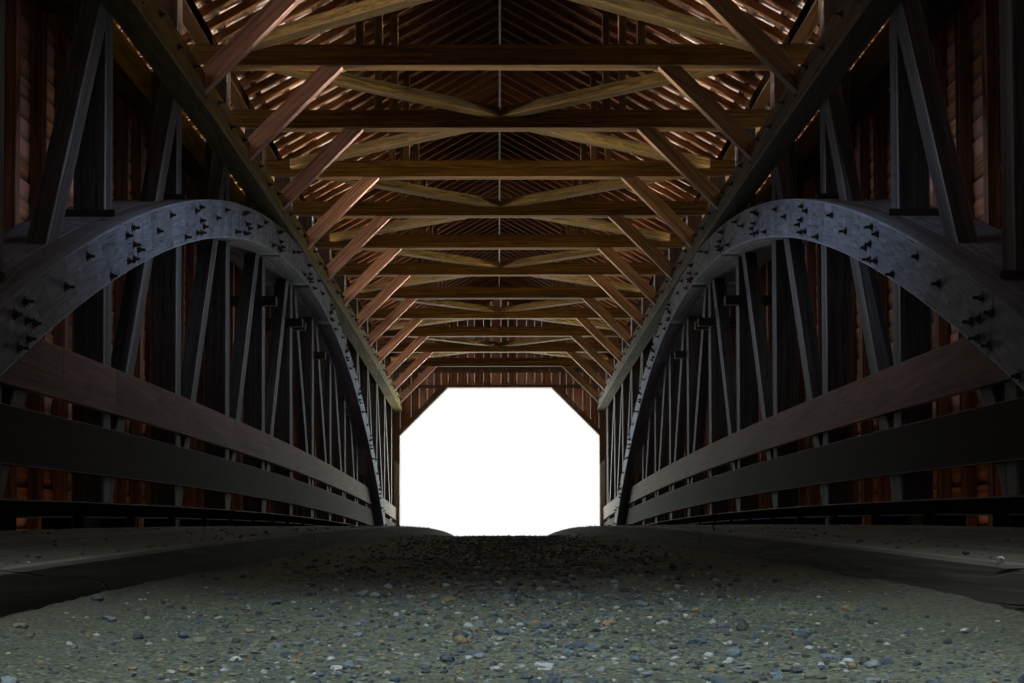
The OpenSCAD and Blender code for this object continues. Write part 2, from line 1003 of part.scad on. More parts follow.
south_abutment();
north_abutment();
bed_timbers();
lower_laterals();
floor_beams();
stringers();
deck();
runners();
curbs();
jamb_boards();
arch_blocks();
cross_blocks();
tie_beams();
upper_laterals();
queen_struts();
rafter_plates();
ridge_board();
ridge_cap();
south_portal_frame();
north_portal_frame();
south_portal_boards();
north_portal_boards();
south_portal_trim();
north_portal_trim();
west_lower_chord();
east_lower_chord();
west_posts();
east_posts();
west_braces();
east_braces();
west_inner_arch();
east_inner_arch();
west_outer_arch();
east_outer_arch();
west_arch_fillers();
east_arch_fillers();
west_upper_chord();
east_upper_chord();
west_guard_rails();
east_guard_rails();
west_knee_braces();
east_knee_braces();
west_rafters();
east_rafters();
west_laths();
east_laths();
west_roof();
east_roof();
west_studs();
east_studs();
west_siding();
east_siding();
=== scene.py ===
# Looks of a covered timber bridge with Burr arch trusses, seen from inside its south portal
import math
import random

import bmesh
import bpy
from mathutils import Matrix, Vector, noise


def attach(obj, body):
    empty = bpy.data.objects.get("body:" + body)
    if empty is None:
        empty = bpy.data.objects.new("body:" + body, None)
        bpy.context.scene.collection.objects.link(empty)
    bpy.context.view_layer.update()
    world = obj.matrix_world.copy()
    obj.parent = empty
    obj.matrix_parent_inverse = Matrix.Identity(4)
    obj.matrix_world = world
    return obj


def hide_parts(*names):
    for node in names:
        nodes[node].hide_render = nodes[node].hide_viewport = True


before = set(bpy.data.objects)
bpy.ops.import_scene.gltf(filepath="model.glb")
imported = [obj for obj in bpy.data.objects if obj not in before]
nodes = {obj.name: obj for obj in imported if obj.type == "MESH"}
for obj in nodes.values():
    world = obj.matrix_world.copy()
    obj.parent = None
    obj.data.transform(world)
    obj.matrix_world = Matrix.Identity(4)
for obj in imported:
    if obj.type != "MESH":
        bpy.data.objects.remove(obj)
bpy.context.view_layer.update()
random.seed(11)

# Sizes that the scene shares with the solids, in metres: span, floor and portals
PANEL = 2.2
HALF_N = 8
HALF_L = 18.7
CAMBER = 0.275
ROAD = 4.0
DECK_X = 2.2
DECK_T = 0.075
RUNNER_X = 0.7
RUNNER_W = 1.33
RUNNER_H = 0.1
BOARD_T = 0.025
PORTAL_Y = HALF_L + BOARD_T
PORTAL_X = 2.325
PORTAL_H = 3.885
PORTAL_CORNER = 1.12
PORTAL_GAP = 0.02

# Trusses, walls and roof
INNER_X = 2.25
POST_X = 2.45
BOARD_X = 2.93
CHORD_Z = 7.3
PITCH = math.radians(29)
RAFTER_D = 0.075
LATH_T = 0.025
LATH_STEP = 0.254
VERGE = 0.3
EAVES_X = 3.35
SHINGLE_X = EAVES_X + 0.047
# Where the undersides of the rafters sit on the plates, and the height at which they would meet
RAFTER_X = 2.668
RAFTER_Z = 8.56
RIDGE_Z = RAFTER_Z + math.tan(PITCH) * RAFTER_X

# Arches and abutments
FACE_Y = 16.5
ARCH_D = 0.3
JOINT_OFF = 0.35
CROWN_Z = CHORD_Z + CAMBER - 0.025
ARCH_RISE = CROWN_Z - ROAD + 1.3
ARCH_R = (FACE_Y ** 2 + ARCH_RISE ** 2) / (2 * ARCH_RISE)
ARCH_Z = CROWN_Z - ARCH_R
ABUTMENT_X = 3.35
SEAT_Z = 2.875
BACK_Y = 18.835
WALL_Y = 19.585
POCKET_X = (2.235, 2.865)
POCKET_Y = 16.82
POCKET_GAP = 0.015
FOOT_Y = 16.8
FOOT_CUT = 0.04

# Slopes that the grain of the slanting timbers follows
BRACE_SLOPE = math.radians(56.5)
KNEE_SLOPE = math.radians(45)
LATERAL_SLOPE = math.atan2(PANEL, POST_X)

# Boards that lie along the bridge, and the lapped ones of the walls
BOARD_LONG = 4.4
LAPPED_LOW_Z = 3.05
LAPPED_TOP_Z = 7.52
LAPPED_STEP = 0.1255
LAPPED_LAP = 0.032

BEND_YS = [-HALF_L] + [i * PANEL for i in range(-HALF_N, HALF_N + 1)] + [HALF_L]


def camber_at(y):
    return CAMBER * (1 - (y / HALF_L) ** 2)


def lift(y):
    """Camber as the solids have it, straight between the panel points."""
    if abs(y) >= HALF_L:
        return 0.0
    for a, b in zip(BEND_YS, BEND_YS[1:]):
        if a <= y <= b:
            t = (y - a) / (b - a)
            return camber_at(a) * (1 - t) + camber_at(b) * t
    return 0.0


def ring_height(radius, y):
    """Height at y of a circle round the middle of the arch."""
    return ARCH_Z + math.sqrt(radius ** 2 - y ** 2)


# Materials

class Graph:
    """Shader nodes of one material, with short names for the usual ones."""

    def __init__(self, name, rough):
        self.mat = bpy.data.materials.new(name)
        self.mat.use_nodes = True
        self.tree = self.mat.node_tree
        self.tree.nodes.clear()
        self.out = self.tree.nodes.new("ShaderNodeOutputMaterial")
        self.bsdf = self.tree.nodes.new("ShaderNodeBsdfPrincipled")
        self.bsdf.inputs["Roughness"].default_value = rough
        self.bsdf.inputs["Specular IOR Level"].default_value = 0.3
        self.tree.links.new(self.bsdf.outputs["BSDF"], self.out.inputs["Surface"])
        self.island = None

    def node(self, kind, **values):
        n = self.tree.nodes.new("ShaderNode" + kind)
        for k, v in values.items():
            setattr(n, k, v)
        return n

    def put(self, socket, value):
        if hasattr(value, "is_output"):
            self.tree.links.new(value, socket)
        else:
            socket.default_value = value

    def math(self, op, a, b=0.0):
        n = self.node("Math", operation=op)
        self.put(n.inputs[0], a)
        self.put(n.inputs[1], b)
        return n.outputs[0]

    def plus(self, a, b):
        return self.math("ADD", a, b)

    def minus(self, a, b):
        return self.math("SUBTRACT", a, b)

    def times(self, a, b):
        return self.math("MULTIPLY", a, b)

    def size(self, a):
        """The number without its sign."""
        return self.math("ABSOLUTE", a)

    def parts(self, vector):
        n = self.node("SeparateXYZ")
        self.put(n.inputs[0], vector)
        return n.outputs[0], n.outputs[1], n.outputs[2]

    def join(self, x, y, z):
        n = self.node("CombineXYZ")
        for socket, value in zip(n.inputs, (x, y, z)):
            self.put(socket, value)
        return n.outputs[0]

    def place(self):
        return self.node("TexCoord").outputs["Object"]

    def normal(self):
        return self.parts(self.node("NewGeometry").outputs["Normal"])

    def rand(self):
        """One random number for each separate solid of the mesh."""
        if self.island is None:
            self.island = self.node("NewGeometry").outputs["Random Per Island"]
        return self.island

    def noise(self, vector, scale=1.0, detail=3.0, rough=0.55):
        n = self.node("TexNoise")
        self.put(n.inputs["Vector"], vector)
        n.inputs["Scale"].default_value = scale
        n.inputs["Detail"].default_value = detail
        n.inputs["Roughness"].default_value = rough
        return n.outputs["Fac"]

    def cells(self, vector, scale=1.0, output="Distance"):
        n = self.node("TexVoronoi")
        self.put(n.inputs["Vector"], vector)
        n.inputs["Scale"].default_value = scale
        return n.outputs[output]

    def span(self, value, lo, hi, to_lo=0.0, to_hi=1.0, smooth=True):
        n = self.node("MapRange", interpolation_type="SMOOTHSTEP" if smooth else "LINEAR")
        self.put(n.inputs["Value"], value)
        n.inputs["From Min"].default_value = lo
        n.inputs["From Max"].default_value = hi
        n.inputs["To Min"].default_value = to_lo
        n.inputs["To Max"].default_value = to_hi
        return n.outputs["Result"]

    def mix(self, fac, a, b, blend="MIX"):
        n = self.node("Mix", data_type="RGBA", blend_type=blend)
        self.put(n.inputs[0], fac)
        self.put(n.inputs[6], (*a, 1) if isinstance(a, tuple) else a)
        self.put(n.inputs[7], (*b, 1) if isinstance(b, tuple) else b)
        return n.outputs[2]

    def scaled(self, vector, sx, sy, sz):
        n = self.node("Mapping")
        self.put(n.inputs["Vector"], vector)
        n.inputs["Scale"].default_value = (sx, sy, sz)
        return n.outputs[0]

    def turned(self, vector, angle):
        n = self.node("VectorRotate", rotation_type="Z_AXIS")
        self.put(n.inputs["Vector"], vector)
        n.inputs["Angle"].default_value = angle
        return n.outputs[0]

    def own_shade(self, tone, pick, low, high):
        """Makes each solid a little darker or lighter, by a random number of its own."""
        shade = self.span(pick, 0.0, 1.0, low, high, smooth=False)
        return self.mix(1.0, tone, self.join(shade, shade, shade), "MULTIPLY")

    def finish(self, color, height=None, depth=0.002):
        self.put(self.bsdf.inputs["Base Color"], color)
        if height is not None:
            b = self.node("Bump")
            b.inputs["Strength"].default_value = 1.0
            b.inputs["Distance"].default_value = depth
            self.put(b.inputs["Height"], height)
            self.tree.links.new(b.outputs["Normal"], self.bsdf.inputs["Normal"])
        return self.mat


def grain_space(g, way):
    """Place on the object, turned so that X runs along the grain."""
    p = g.place()
    if way == "x":
        return p
    x, y, z = g.parts(p)
    if way == "y":
        return g.join(y, x, z)
    if way == "z":
        return g.join(z, y, x)
    if way == "arch":
        high = g.minus(z, ARCH_Z)
        r = g.math("SQRT", g.plus(g.times(y, y), g.times(high, high)))
        return g.join(g.times(g.math("ARCTAN2", y, high), ARCH_R), x, r)
    if way == "brace":
        return g.turned(g.join(g.size(y), z, x), BRACE_SLOPE)
    if way == "knee":
        return g.turned(g.join(g.size(x), z, y), KNEE_SLOPE)
    if way == "roof":
        return g.turned(g.join(g.size(x), z, y), PITCH)
    if way == "lateral":
        return g.turned(g.join(g.size(x), g.math("PINGPONG", y, PANEL), z), LATERAL_SLOPE)
    raise ValueError(way)


def over(g, level):
    """Height over a level that follows the camber."""
    _, y, z = g.parts(g.place())
    bend = g.times(g.times(y, y), CAMBER / HALF_L ** 2)
    return g.plus(z, g.minus(bend, level + CAMBER))


def fibre_space(g, way):
    """Grain space shifted for each timber, first plain and then with fibres that wander."""
    shift = g.times(g.rand(), 37.0)
    x, y, z = g.parts(grain_space(g, way))
    plain = g.join(g.plus(x, shift), g.plus(y, g.times(shift, 0.37)), z)
    wander = g.noise(g.scaled(plain, 0.7, 2.2, 2.2), 1.0, 2.0)
    # Neighbouring fibres end at different places along the timber
    uneven = g.plus(g.times(y, 6.1), g.times(z, 4.3))
    sway = g.node("VectorMath", operation="MULTIPLY_ADD")
    g.put(sway.inputs[0], g.join(uneven, wander, wander))
    sway.inputs[1].default_value = (1.0, 0.07, 0.05)
    g.put(sway.inputs[2], plain)
    return plain, sway.outputs[0]


def add_checks(g, plain, swayed, tone, height, dark, amount):
    """Drying checks: thin dark lines along the grain, in places."""
    lines = g.noise(g.scaled(swayed, 0.9, 17.0, 17.0), 1.0, 2.0, 0.5)
    where = g.span(g.noise(g.scaled(plain, 1.6, 5.0, 5.0), 1.0, 1.0), 0.5, 0.62)
    check = g.times(g.span(g.size(g.minus(lines, 0.5)), 0.001, 0.011, 1.0, 0.0), where)
    tone = g.mix(g.times(check, amount), tone, tuple(c * 0.12 for c in dark))
    return tone, g.minus(height, g.times(check, 1.6))


def add_knots(g, swayed, tone, height, dark, amount):
    """Knots with the darker rings of the grain round them."""
    spot = g.cells(g.scaled(swayed, 1.3, 4.4, 4.4))
    knot = g.span(spot, 0.055, 0.1, 1.0, 0.0)
    tone = g.mix(g.times(knot, amount), tone, tuple(c * 0.3 for c in dark))
    rings = g.span(g.math("SINE", g.times(spot, 130.0)), 0.0, 1.0)
    around = g.times(g.span(spot, 0.09, 0.24, 1.0, 0.0), rings)
    tone = g.mix(g.times(around, 0.45 * amount), tone, dark)
    return tone, g.minus(height, g.times(knot, 0.4))


def add_seams(g, tone, height, first, pitch):
    """Dark butt joints between the planks of a long rail or curb."""
    y = g.parts(g.place())[1]
    seam = g.span(g.math("PINGPONG", g.plus(y, first), pitch / 2), 0.0015, 0.0035, 1.0, 0.0)
    tone = g.mix(seam, tone, (0.004, 0.003, 0.003))
    return tone, g.minus(height, g.times(seam, 3.0))


def wood(name, way, tones, crack=0.6, stain=0.5, knots=0.0, depth=0.0025, vary=0.35, dust=0.0,
         dust_color=(0.2, 0.19, 0.17), seams=None, shine=0.3, dim=None):
    """Sawn or weathered timber, in a dark, a middle and a light tone.

    The seams are the first joint and the spacing. The dimming is a level, and tints below and above it.
    """
    g = Graph(name, 0.88)
    g.bsdf.inputs["Specular IOR Level"].default_value = shine
    dark, middle, light = tones
    plain, swayed = fibre_space(g, way)
    fibres = g.noise(g.scaled(swayed, 2.0, 130.0, 130.0), 1.0, 4.0, 0.6)
    rings = g.noise(g.scaled(swayed, 0.55, 26.0, 26.0), 1.0, 3.0, 0.55)
    blotch = g.noise(g.scaled(plain, 1.1, 3.6, 3.6), 1.0, 4.0, 0.6)
    tone = g.mix(g.span(rings, 0.33, 0.68), dark, middle)
    tone = g.mix(g.times(g.span(fibres, 0.42, 0.74), 0.75), tone, light)
    tone = g.mix(g.times(g.span(blotch, 0.5, 0.82), stain), tone, dark)
    height = g.plus(g.times(fibres, 0.45), g.times(rings, 0.35))
    if crack:
        tone, height = add_checks(g, plain, swayed, tone, height, dark, crack)
    if knots:
        tone, height = add_knots(g, swayed, tone, height, dark, knots)
    if seams:
        tone, height = add_seams(g, tone, height, *seams)
    tone = g.own_shade(tone, g.rand(), 1.0 - vary, 1.0 + vary)
    if dim:
        level, below, above = dim
        part = g.mix(g.span(over(g, level), -0.02, 0.02), below, above)
        tone = g.mix(1.0, tone, part, "MULTIPLY")
        g.put(g.bsdf.inputs["Specular IOR Level"], g.times(g.parts(part)[0], shine))
    if dust:
        lie = g.times(g.span(g.normal()[2], 0.25, 0.9), g.span(blotch, 0.25, 0.65))
        tone = g.mix(g.times(lie, dust), tone, dust_color)
    return g.finish(tone, height, depth)


def three(base, low, high):
    """Dark, middle and light tone of a wood."""
    return tuple(c * low for c in base), base, tuple(min(c * high, 0.9) for c in base)


def gravel(name, tones):
    """Crushed stone: each pebble has one of the tones, with fine specks and dirt."""
    g = Graph(name, 0.9)
    p = g.place()
    tone = tones[0]
    for k, t in enumerate(tones[1:], 1):
        tone = g.mix(g.math("GREATER_THAN", g.rand(), k / len(tones)), tone, t)
    speck = g.span(g.noise(p, 420.0, 3.0, 0.7), 0.35, 0.75)
    tone = g.mix(g.times(speck, 0.45), tone, (0.02, 0.02, 0.022))
    dirt_and_ledge_shade = g.span(g.noise(p, 60.0, 3.0), 0.45, 0.8)
    tone = g.mix(g.times(dirt_and_ledge_shade, 0.4), tone, (0.1, 0.095, 0.08))
    return g.finish(tone, g.noise(p, 300.0, 4.0, 0.7), 0.0012)


def grit_look():
    """Sand with grey, pale and dark grains, darker towards the runners."""
    g = Graph("floor grit", 0.95)
    p = g.place()
    grey, pale, dark = g.parts(g.cells(p, 210.0, "Color"))
    base = g.mix(g.span(g.noise(p, 1.7, 4.0, 0.6), 0.3, 0.7), (0.08, 0.098, 0.066), (0.14, 0.165, 0.12))
    tone = g.mix(g.span(grey, 0.5, 0.9), base, (0.06, 0.088, 0.105))
    tone = g.mix(g.span(pale, 0.84, 0.98), tone, (0.26, 0.29, 0.25))
    tone = g.mix(g.span(dark, 0.66, 0.9), tone, (0.018, 0.02, 0.022))
    sand = g.noise(p, 650.0, 3.0, 0.8)
    tone = g.mix(g.times(g.span(sand, 0.4, 0.7), 0.5), tone, base)
    side = g.span(g.size(g.parts(p)[0]), 0.45, 0.69)
    tone = g.mix(g.times(side, 0.6), tone, (0.05, 0.048, 0.04))
    grain = g.span(g.cells(p, 210.0), 0.0, 0.6, 1.0, 0.0)
    return g.finish(tone, g.plus(g.times(grain, 0.8), g.times(sand, 0.5)), 0.004)


def siding_look():
    """Barn red outside, bare reddish brown inside, on sawn boards."""
    g = Graph("siding", 0.85)
    p = g.place()
    x, y, z = g.parts(p)
    shift = g.times(g.rand(), 31.0)
    # The boards of the walls lie along the bridge, those of the portals stand upright
    portal = g.span(g.size(y), PORTAL_Y - 0.015, PORTAL_Y - 0.01, smooth=False)
    along = g.mix(portal, g.join(g.plus(y, shift), x, z), g.join(z, g.plus(x, shift), y))
    fibres = g.noise(g.scaled(along, 4.0, 150.0, 150.0), 1.0, 4.0, 0.6)
    rings = g.noise(g.scaled(along, 0.8, 30.0, 30.0), 1.0, 3.0)
    blotch = g.noise(p, 2.3, 5.0, 0.65)
    bare = g.mix(g.span(rings, 0.35, 0.65), (0.17, 0.07, 0.035), (0.4, 0.17, 0.08))
    pink = g.math("FRACT", g.times(g.rand(), 5.3))
    bare = g.mix(g.span(pink, 0.5, 0.9), bare, (0.46, 0.25, 0.2))
    bare = g.mix(g.times(g.span(fibres, 0.45, 0.75), 0.6), bare, (0.56, 0.29, 0.17))
    bare = g.mix(g.times(g.span(blotch, 0.5, 0.75), 0.55), bare, (0.1, 0.055, 0.04))
    # Painted shade: each board is darkened just above the ledge that the head of the board below makes for
    # it, as in the shadow of that ledge
    rise = g.math("DIVIDE", over(g, LAPPED_LOW_Z + LAPPED_LAP), LAPPED_STEP)
    ledge = g.span(g.math("FRACT", rise), 0.02, 0.45, 1.0, 0.0)
    dirt_and_ledge_shade = g.times(ledge, g.span(pink, 0.0, 1.0, 0.95, 0.6))
    bare = g.mix(g.times(dirt_and_ledge_shade, g.minus(1.0, portal)), bare, (0.02, 0.01, 0.008))
    paint = g.mix(g.span(blotch, 0.3, 0.7), (0.24, 0.042, 0.026), (0.31, 0.06, 0.036))
    worn = g.times(g.span(fibres, 0.56, 0.7), g.span(g.noise(p, 6.0, 4.0), 0.52, 0.68))
    paint = g.mix(worn, paint, (0.3, 0.2, 0.15))
    nx, ny, _ = g.normal()
    side = g.times(nx, g.math("SIGN", x))
    front = g.times(ny, g.math("SIGN", y))
    outside = g.span(g.math("MAXIMUM", side, g.times(front, portal)), 0.2, 0.4)
    tone = g.own_shade(g.mix(outside, bare, paint), g.rand(), 0.72, 1.25)
    return g.finish(tone, g.plus(fibres, rings), 0.0015)


def shingle_look():
    """Grey brown weathered above, bare wood below, with painted light on the undersides near the eaves."""
    g = Graph("shingle", 0.85)
    shift = g.times(g.rand(), 23.0)
    x, y, z = g.parts(grain_space(g, "roof"))
    p = g.join(g.plus(x, shift), y, g.plus(z, shift))
    fibres = g.noise(g.scaled(p, 5.0, 150.0, 170.0), 1.0, 4.0, 0.6)
    rings = g.noise(g.scaled(p, 1.2, 30.0, 38.0), 1.0, 3.0)
    blotch = g.noise(g.place(), 1.4, 4.0, 0.6)
    # Painted light: the undersides from about 1.9 m out are painted pale, for the light that comes in under
    # the eaves and falls on them, and the pale fades again beyond 2.8 m out
    bare = g.mix(g.rand(), (0.07, 0.028, 0.01), (0.21, 0.11, 0.045))
    pale = g.mix(g.rand(), (0.72, 0.45, 0.3), (0.92, 0.85, 0.78))
    out = g.size(g.parts(g.place())[0])
    near = g.span(g.plus(out, g.times(blotch, 0.9)), 1.9, 2.8)
    under = g.mix(g.times(near, g.span(out, 2.8, 2.9, 1.0, 0.15)), bare, pale)
    under = g.mix(g.times(g.span(rings, 0.4, 0.7), 0.25), under, (0.3, 0.13, 0.05))
    above = g.mix(g.rand(), (0.13, 0.115, 0.1), (0.25, 0.22, 0.19))
    above = g.mix(g.times(g.span(fibres, 0.45, 0.7), 0.5), above, (0.34, 0.31, 0.27))
    above = g.mix(g.times(g.span(blotch, 0.5, 0.7), 0.4), above, (0.07, 0.075, 0.06))
    tone = g.mix(g.span(g.normal()[2], -0.2, 0.2), under, above)
    tone = g.own_shade(tone, g.math("FRACT", g.times(g.rand(), 7.31)), 0.75, 1.2)
    return g.finish(tone, g.plus(fibres, rings), 0.0015)


def stone_look(name, tones, scale, shade):
    """Rough stone or mortar, damp and dark near the ground."""
    g = Graph(name, 0.92)
    p = g.place()
    big = g.noise(p, 3.0, 5.0, 0.6)
    fine = g.noise(p, scale, 5.0, 0.7)
    tone = g.mix(g.rand(), tones[0], tones[1])
    tone = g.mix(g.times(g.span(big, 0.4, 0.7), 0.6), tone, tones[2])
    tone = g.mix(g.times(g.span(fine, 0.5, 0.8), 0.35), tone, tuple(c * 0.4 for c in tones[0]))
    damp = g.times(g.span(g.parts(p)[2], 0.1, 1.3, 1.0, 0.0), g.span(big, 0.3, 0.6))
    tone = g.mix(g.times(damp, shade), tone, (0.09, 0.085, 0.065))
    return g.finish(tone, g.plus(big, fine), 0.012)


def iron_look():
    """Dark iron with rust in spots."""
    g = Graph("bolt iron", 0.6)
    rust = g.noise(g.place(), 35.0, 4.0, 0.7)
    tone = g.mix(g.span(rust, 0.45, 0.75), (0.018, 0.016, 0.016), (0.06, 0.03, 0.018))
    g.bsdf.inputs["Metallic"].default_value = 0.4
    return g.finish(tone, rust, 0.001)


def timber(name, way, base, low=0.5, high=1.7, edge=1.5, **more):
    """A wood and, for its edges, a paler one: partly rubbed wear, partly painted highlight where the edges
    catch the light.
    """
    mats[name] = wood(name + " wood", way, three(base, low, high), **more)
    pale = tuple(min(c * edge, 0.9) for c in base)
    mats[name + "_edge"] = wood(name + " edge", way, three(pale, 0.75, 1.35), crack=0.2, vary=0.2)


GREY = (0.06, 0.062, 0.072)
ARCH = (0.155, 0.185, 0.262)
# Above the chord the posts are bare brown wood, and the lower guard rail is painted darker and duller than
# the upper one: painted shade, as the light falls from above
POST_DIM = (CHORD_Z + 0.1, (1.0, 1.0, 1.0), (0.9, 0.5, 0.25))
RAIL_PAINTED_SHADE = (ROAD + 0.745, (0.15, 0.16, 0.1), (1.0, 1.0, 1.0))
mats = {}
timber("post", "z", GREY, 0.4, 1.8, 3.6, crack=0.9, dim=POST_DIM)
timber("brace", "brace", GREY, 0.4, 1.8, 3.6, crack=0.9)
timber("arch", "arch", ARCH, 0.5, 1.5, 1.4, crack=0.95, stain=0.6, knots=0.5, vary=0.2)
# Painted light: the west chord is warm olive as if lit, the east one darker and purplish as if in shade,
# one wood in two copies
timber("west_chord", "y", (0.2, 0.142, 0.022), 0.4, 1.7, 1.3, crack=0.7, stain=0.8, shine=0.05)
timber("east_chord", "y", (0.11, 0.082, 0.06), 0.4, 1.7, 1.3, crack=0.7, stain=0.8, shine=0.05)
timber("low_chord", "y", (0.12, 0.1, 0.08), crack=0.7)
timber("rail", "y", (0.13, 0.072, 0.066), 0.6, 1.4, 1.6, crack=0.3, stain=0.7, seams=(1.2, BOARD_LONG),
       vary=0.2, shine=0.08, dim=RAIL_PAINTED_SHADE)
timber("curb", "y", (0.016, 0.015, 0.012), crack=0.4, seams=(0.4, BOARD_LONG), shine=0.0)
timber("tie", "x", (0.1, 0.052, 0.012), 0.35, 2.1, 0.8, crack=0.5, knots=0.6, stain=0.8, shine=0.1)
timber("strut", "z", (0.1, 0.055, 0.022), crack=0.3)
timber("lateral", "lateral", (0.08, 0.047, 0.01), 0.35, 2.2, 1.2, crack=0.4, knots=0.8, stain=0.9,
       shine=0.1)
# Painted light: the west knee braces are light pink as if lit, the east ones dark brown as if in shade, one
# wood in two copies
timber("west_knee", "knee", (0.52, 0.3, 0.235), 0.4, 1.5, 1.0, crack=0.6, stain=0.8)
timber("east_knee", "knee", (0.2, 0.115, 0.055), 0.4, 1.5, 1.0, crack=0.6, stain=0.8)
timber("rafter", "roof", (0.14, 0.052, 0.013), 0.5, 1.7, crack=0.2, knots=0.4)
timber("lath", "y", (0.07, 0.035, 0.02), crack=0.1)
timber("plate", "y", (0.014, 0.007, 0.003), crack=0.5, shine=0.0)
# Painted light: the ridge board is almost white, partly pale wood and partly the light that its lower edge
# catches from below
timber("ridge", "y", (0.8, 0.74, 0.62), crack=0.2)
timber("cap", "y", (0.17, 0.15, 0.125), crack=0.5)
timber("floor", "x", (0.13, 0.095, 0.065), crack=0.6)
timber("stringer", "y", (0.13, 0.095, 0.065), crack=0.6)
timber("stud", "z", (0.17, 0.085, 0.06), 0.4, 1.8, 1.8, crack=0.4)
timber("frame", "z", (0.14, 0.09, 0.06), crack=0.5)
# Painted shade: the block wood is near black, for the dark bars of shadow where the posts stand on the
# arches
timber("block", "x", (0.03, 0.026, 0.024), crack=0.2)
timber("jamb", "z", (0.5, 0.47, 0.42), 0.7, 1.3, 1.2, crack=0.5)
timber("deck", "x", (0.1, 0.095, 0.085), crack=0.6, dust=0.7)
timber("runner", "y", (0.052, 0.053, 0.047), 0.5, 1.5, 1.5, crack=0.5, dust=0.4,
       dust_color=(0.06, 0.07, 0.055), shine=0.1)
mats["trim"] = wood("trim paint", "z", ((0.55, 0.54, 0.5), (0.74, 0.73, 0.69), (0.8, 0.79, 0.75)),
                    crack=0.5, stain=0.3, vary=0.05, depth=0.0012)
mats["siding"] = siding_look()
mats["shingle"] = shingle_look()
mats["grit"] = grit_look()
mats["pebble"] = gravel("pebbles", (
    (0.055, 0.085, 0.115), (0.1, 0.14, 0.175), (0.035, 0.045, 0.05), (0.13, 0.15, 0.12), (0.07, 0.1, 0.13),
    (0.15, 0.19, 0.215), (0.19, 0.155, 0.1), (0.045, 0.065, 0.085), (0.32, 0.37, 0.37), (0.1, 0.12, 0.1)))
mats["stone"] = stone_look("stone", ((0.34, 0.31, 0.26), (0.46, 0.43, 0.37), (0.27, 0.26, 0.24)), 28.0, 0.8)
mats["mortar"] = stone_look("mortar", ((0.5, 0.48, 0.43), (0.55, 0.53, 0.48), (0.4, 0.38, 0.33)), 70.0, 0.6)
mats["iron"] = iron_look()

# Look of each solid that shows as it is
looks = {
    "bed_timbers": "floor", "lower_laterals": "floor", "floor_beams": "floor", "stringers": "stringer",
    "curbs": "curb", "jamb_boards": "jamb", "arch_blocks": "block", "cross_blocks": "block",
    "tie_beams": "tie", "upper_laterals": "lateral", "queen_struts": "strut", "rafter_plates": "plate",
    "ridge_board": "ridge", "ridge_cap": "cap",
}
# Width of the paler edges, worn and with painted highlight: the usual one, and those of the nodes that
# differ
EDGE = 0.007
edges = {"arch_blocks": 0.003, "ridge_board": 0.002, "jamb_boards": 0.003, "ridge_cap": 0.003}
for end_name in ("south", "north"):
    looks.update({end_name + "_portal_frame": "frame", end_name + "_portal_trim": "trim"})
    edges[end_name + "_portal_trim"] = 0.003
for side_name in ("west", "east"):
    looks.update({
        side_name + "_lower_chord": "low_chord", side_name + "_posts": "post",
        side_name + "_braces": "brace", side_name + "_inner_arch": "arch",
        side_name + "_outer_arch": "arch", side_name + "_arch_fillers": "arch",
        side_name + "_upper_chord": side_name + "_chord", side_name + "_guard_rails": "rail",
        side_name + "_knee_braces": side_name + "_knee", side_name + "_rafters": "rafter",
        side_name + "_laths": "lath", side_name + "_studs": "stud",
    })
    edges.update({
        side_name + "_laths": 0.002, side_name + "_rafters": 0.003, side_name + "_inner_arch": 0.011,
        side_name + "_posts": 0.009, side_name + "_braces": 0.009, side_name + "_guard_rails": 0.005,
    })


# Pieces

class Piece:
    """Vertices and faces of one piece, gathered solid by solid."""

    def __init__(self):
        self.verts = []
        self.faces = []

    def add(self, verts, faces):
        base = len(self.verts)
        self.verts.extend(verts)
        self.faces.extend(tuple(base + i for i in f) for f in faces)

    def prism(self, rings):
        """Closed solid through rings of equal length, each a list of corners in the same order."""
        n = len(rings[0])
        verts = [v for ring in rings for v in ring]
        faces = [tuple(reversed(range(n)))]
        for k in range(len(rings) - 1):
            a, b = k * n, (k + 1) * n
            faces += [(a + i, a + (i + 1) % n, b + (i + 1) % n, b + i) for i in range(n)]
        faces.append(tuple(range(len(verts) - n, len(verts))))
        self.add(verts, faces)

    def build(self, name, material, replaces=(), bevel=0.0, segments=1, edge=None):
        mesh = bpy.data.meshes.new(name)
        mesh.from_pydata(self.verts, [], self.faces)
        mesh.validate()
        bm = bmesh.new()
        bm.from_mesh(mesh)
        bmesh.ops.recalc_face_normals(bm, faces=bm.faces)
        bm.to_mesh(mesh)
        bm.free()
        o = bpy.data.objects.new(name, mesh)
        bpy.context.scene.collection.objects.link(o)
        mesh.materials.append(material)
        if bevel:
            soften(o, bevel, segments, edge)
        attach(o, "root")
        if replaces:
            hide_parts(*replaces)
        return o


def soften(o, width, segments=2, edge=None):
    """Rounds the edges, in a paler material where one is given: partly wear, partly painted highlight."""
    m = o.modifiers.new("worn and highlit edges", "BEVEL")
    m.width = width
    m.segments = segments
    m.limit_method = "ANGLE"
    m.angle_limit = math.radians(35)
    m.use_clamp_overlap = True
    if edge is not None:
        o.data.materials.append(edge)
        m.material = len(o.data.materials) - 1


def stops(y0, y1):
    """Ends of a long piece, and the panel points between them where it bends."""
    return [y0] + [y for y in BEND_YS if y0 + 0.01 < y < y1 - 0.01] + [y1]


def lengths(end, first, least):
    """Ends of the boards in one row, with its first length; a rest under the least joins the last one."""
    y = -end
    long = first
    while y < end - 0.1:
        y1 = min(y + long, end)
        if end - y1 < least:
            y1 = end
        yield y, y1
        y = y1
        long = BOARD_LONG


def jitter(size):
    return random.uniform(-size, size)


